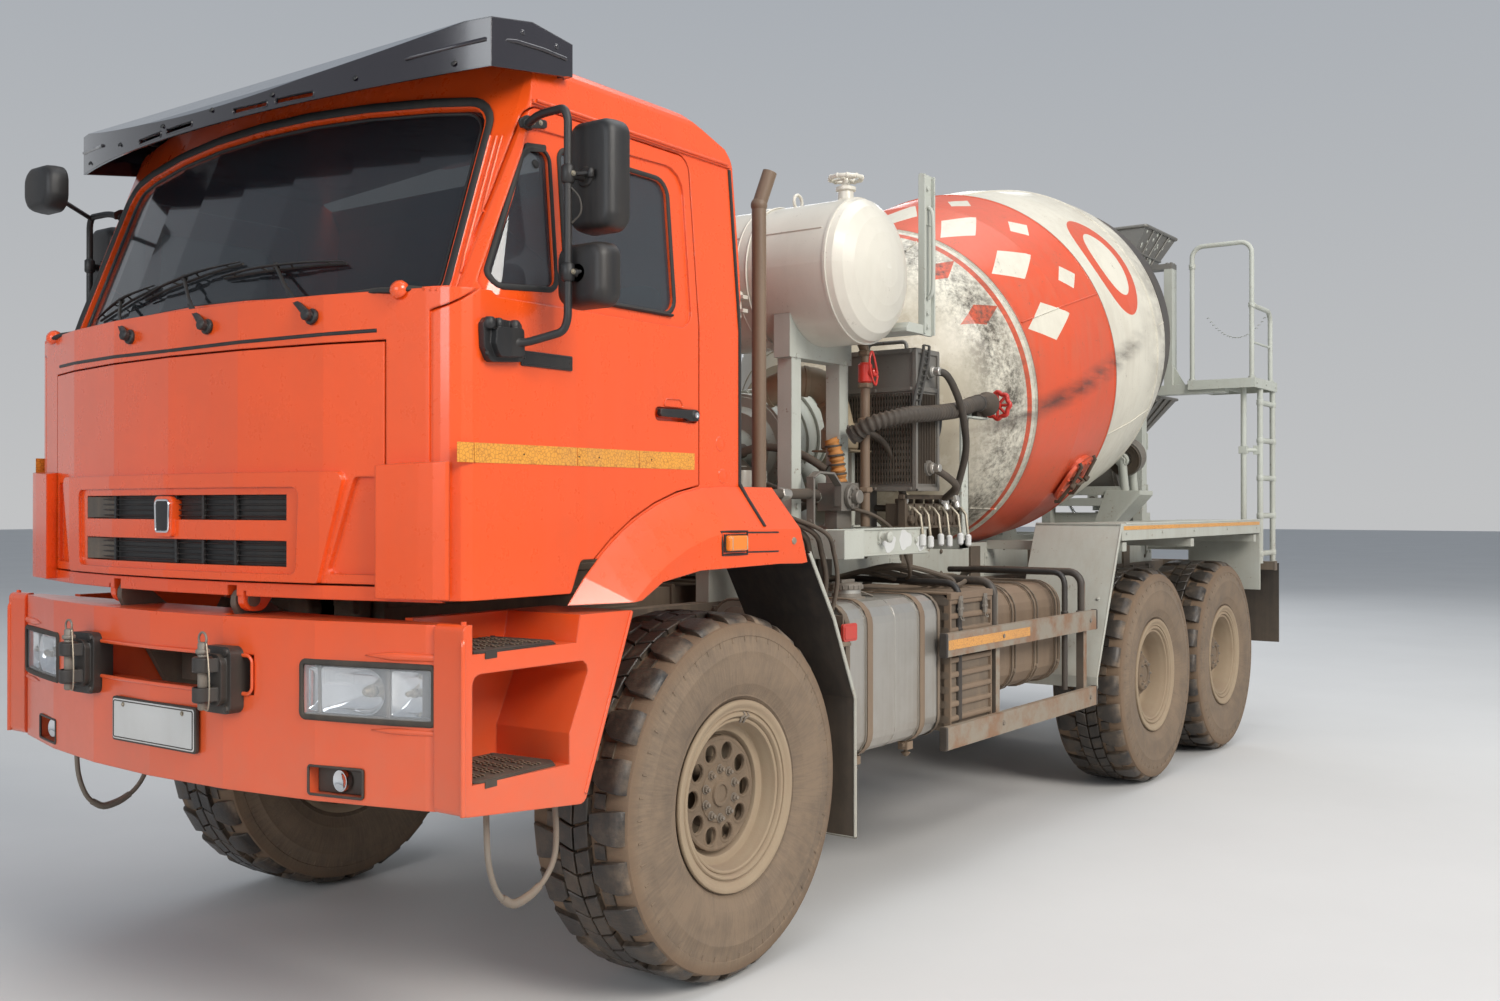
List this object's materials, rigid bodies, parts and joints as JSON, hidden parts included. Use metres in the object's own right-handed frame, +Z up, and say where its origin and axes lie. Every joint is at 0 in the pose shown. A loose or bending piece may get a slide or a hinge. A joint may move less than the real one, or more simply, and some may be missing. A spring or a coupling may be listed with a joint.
{
  "type": "concrete mixer truck",
  "caption": "Six-wheel forward-control truck carrying an inclined rotating mixing drum, water tank, loading hopper and swinging discharge chute.",
  "frame": {"origin": "centre of the overall box in plan, at the ground under the tyres", "axes": "+X forward towards the cab, +Y to the truck's left, +Z up"},
  "size_m": [8.2099, 2.78, 3.666],
  "materials": {
    "orange_paint": "gloss, dusty low down",
    "black_paint": "semi-gloss",
    "chassis_grey": "matt, dusty",
    "dark_iron": "dusty cast iron",
    "pale_grey_paint": "worn satin",
    "cream_paint": "satin, cement stained",
    "drum_paint": "satin, cement stained, with a plain orange-red band",
    "tank_silver": "dusty bare metal",
    "brown_paint": "dusty",
    "wheel_beige": "dusty",
    "glass_dark": "tinted",
    "lamp_glass": "clear",
    "black_plastic": "matt",
    "steel_grey": "worn steel"
  },
  "bodies": {
    "chassis": {"frame_rails": "chassis_grey", "axles": "dark_iron", "leaf_springs": "dark_iron", "powertrain": "dark_iron", "bumper": "orange_paint", "lamps": "lamp_glass", "tow_forks": "black_paint", "step_boxes": "orange_paint", "mud_flaps": "black_plastic", "fuel_tank": "tank_silver", "battery_box": "chassis_grey", "oil_tank": "brown_paint", "air_tanks": "chassis_grey", "side_guards": "pale_grey_paint", "drum_frame": "pale_grey_paint", "water_tank": "cream_paint", "tank_cradle": "pale_grey_paint", "pump_unit": "dark_iron", "pipework": "brown_paint", "oil_cooler": "steel_grey", "charge_hopper": "steel_grey", "discharge_collector": "steel_grey", "rear_wings": "pale_grey_paint", "service_platform": "pale_grey_paint"},
    "cab": {"cab_shell": "orange_paint", "front_mask": "orange_paint", "grille": "black_plastic", "windscreen": "glass_dark", "sun_visor": "black_paint", "cab_interior": "black_plastic", "fenders": "orange_paint"},
    "door_left": {"door_left": "orange_paint", "glass_left": "glass_dark", "mirrors_left": "black_plastic"},
    "door_right": {"door_right": "orange_paint", "glass_right": "glass_dark", "mirrors_right": "black_plastic"},
    "knuckle_left": {"knuckle_left": "dark_iron"},
    "knuckle_right": {"knuckle_right": "dark_iron"},
    "wheel_front_left": {"wheel_front_left": "wheel_beige"},
    "wheel_front_right": {"wheel_front_right": "wheel_beige"},
    "wheel_middle_left": {"wheel_middle_left": "wheel_beige"},
    "wheel_middle_right": {"wheel_middle_right": "wheel_beige"},
    "wheel_rear_left": {"wheel_rear_left": "wheel_beige"},
    "wheel_rear_right": {"wheel_rear_right": "wheel_beige"},
    "drum": {"drum": "drum_paint"},
    "roller_left": {"roller_left": "steel_grey"},
    "roller_right": {"roller_right": "steel_grey"},
    "chute_swing": {"chute_swing": "steel_grey"},
    "chute": {"chute": "steel_grey"},
    "chute_tip": {"chute_tip": "steel_grey"},
    "chute_strut": {"chute_strut": "black_paint"},
    "chute_strut_rod": {"chute_strut_rod": "steel_grey"},
    "cab_lift": {"cab_lift": "black_paint"},
    "cab_lift_rod": {"cab_lift_rod": "steel_grey"}
  },
  "joints": [
    {"name": "cab_tilt", "type": "hinge", "parent": "chassis", "child": "cab", "pos_m": [3.905, 0, 1.322], "axis": [0, 1, 0], "range_deg": [0, 42]},
    {"name": "door_left_hinge", "type": "hinge", "parent": "cab", "child": "door_left", "pos_m": [3.805, 1.132, 1.7], "axis": [0, 0, -1], "range_deg": [0, 75]},
    {"name": "door_right_hinge", "type": "hinge", "parent": "cab", "child": "door_right", "pos_m": [3.805, -1.132, 1.7], "axis": [0, 0, 1], "range_deg": [0, 75]},
    {"name": "steer_left", "type": "hinge", "parent": "chassis", "child": "knuckle_left", "pos_m": [2.615, 0.84, 0.62], "axis": [0, 0, 1], "range_deg": [-27, 27]},
    {"name": "steer_right", "type": "hinge", "parent": "chassis", "child": "knuckle_right", "pos_m": [2.615, -0.84, 0.62], "axis": [0, 0, 1], "range_deg": [-27, 27]},
    {"name": "wheel_front_left_spin", "type": "hinge", "parent": "knuckle_left", "child": "wheel_front_left", "pos_m": [2.615, 1.025, 0.62], "axis": [0, 1, 0], "continuous": true},
    {"name": "wheel_front_right_spin", "type": "hinge", "parent": "knuckle_right", "child": "wheel_front_right", "pos_m": [2.615, -1.025, 0.62], "axis": [0, 1, 0], "continuous": true},
    {"name": "wheel_middle_left_spin", "type": "hinge", "parent": "chassis", "child": "wheel_middle_left", "pos_m": [-1.485, 1.025, 0.62], "axis": [0, 1, 0], "continuous": true},
    {"name": "wheel_middle_right_spin", "type": "hinge", "parent": "chassis", "child": "wheel_middle_right", "pos_m": [-1.485, -1.025, 0.62], "axis": [0, 1, 0], "continuous": true},
    {"name": "wheel_rear_left_spin", "type": "hinge", "parent": "chassis", "child": "wheel_rear_left", "pos_m": [-2.805, 1.025, 0.62], "axis": [0, 1, 0], "continuous": true},
    {"name": "wheel_rear_right_spin", "type": "hinge", "parent": "chassis", "child": "wheel_rear_right", "pos_m": [-2.805, -1.025, 0.62], "axis": [0, 1, 0], "continuous": true},
    {"name": "drum_spin", "type": "hinge", "parent": "chassis", "child": "drum", "pos_m": [-0.465, 0, 2.246], "axis": [-0.9703, 0, 0.2419], "continuous": true},
    {"name": "roller_left_spin", "type": "hinge", "parent": "chassis", "child": "roller_left", "pos_m": [-2.81485, 0.54333, 1.93576], "axis": [-0.9703, 0, 0.2419], "continuous": true},
    {"name": "roller_right_spin", "type": "hinge", "parent": "chassis", "child": "roller_right", "pos_m": [-2.81485, -0.54333, 1.93576], "axis": [-0.9703, 0, 0.2419], "continuous": true},
    {"name": "chute_swing_turn", "type": "hinge", "parent": "chassis", "child": "chute_swing", "pos_m": [-3.865, 0, 1.5], "axis": [0, 0, -1], "range_deg": [0, 140]},
    {"name": "chute_tilt", "type": "hinge", "parent": "chute_swing", "child": "chute", "pos_m": [-3.865, -0.06, 1.65], "axis": [1, 0, 0], "range_deg": [0, 30]},
    {"name": "chute_fold", "type": "hinge", "parent": "chute", "child": "chute_tip", "pos_m": [-3.865, -1.05, 1.918], "axis": [1, 0, 0], "range_deg": [0, 180]},
    {"name": "strut_swing", "type": "hinge", "parent": "chute_swing", "child": "chute_strut", "pos_m": [-3.865, -0.16, 1.38], "axis": [1, 0, 0], "range_deg": [0, 16]},
    {"name": "strut_slide", "type": "slide", "parent": "chute_strut", "child": "chute_strut_rod", "axis": [0, -0.5454, 0.8382], "range_m": [-0.14, 0]},
    {"name": "lift_swing", "type": "hinge", "parent": "chassis", "child": "cab_lift", "pos_m": [3.595, -0.47, 0.94], "axis": [0, 1, 0], "range_deg": [0, 22]},
    {"name": "lift_slide", "type": "slide", "parent": "cab_lift", "child": "cab_lift_rod", "axis": [-0.4472, 0, 0.8944], "range_m": [0, 0.32]}
  ],
  "couplings": [
    {"joint": "steer_right", "follows": "steer_left", "ratio": 1},
    {"joint": "roller_left_spin", "follows": "drum_spin", "ratio": -7.2},
    {"joint": "roller_right_spin", "follows": "drum_spin", "ratio": -7.2},
    {"joint": "strut_swing", "follows": "chute_tilt", "ratio": 0.5104},
    {"joint": "strut_slide", "follows": "chute_tilt", "m_per_rad": -0.2478},
    {"joint": "lift_swing", "follows": "cab_tilt", "ratio": 0.4973},
    {"joint": "lift_slide", "follows": "cab_tilt", "m_per_rad": 0.4107}
  ]
}
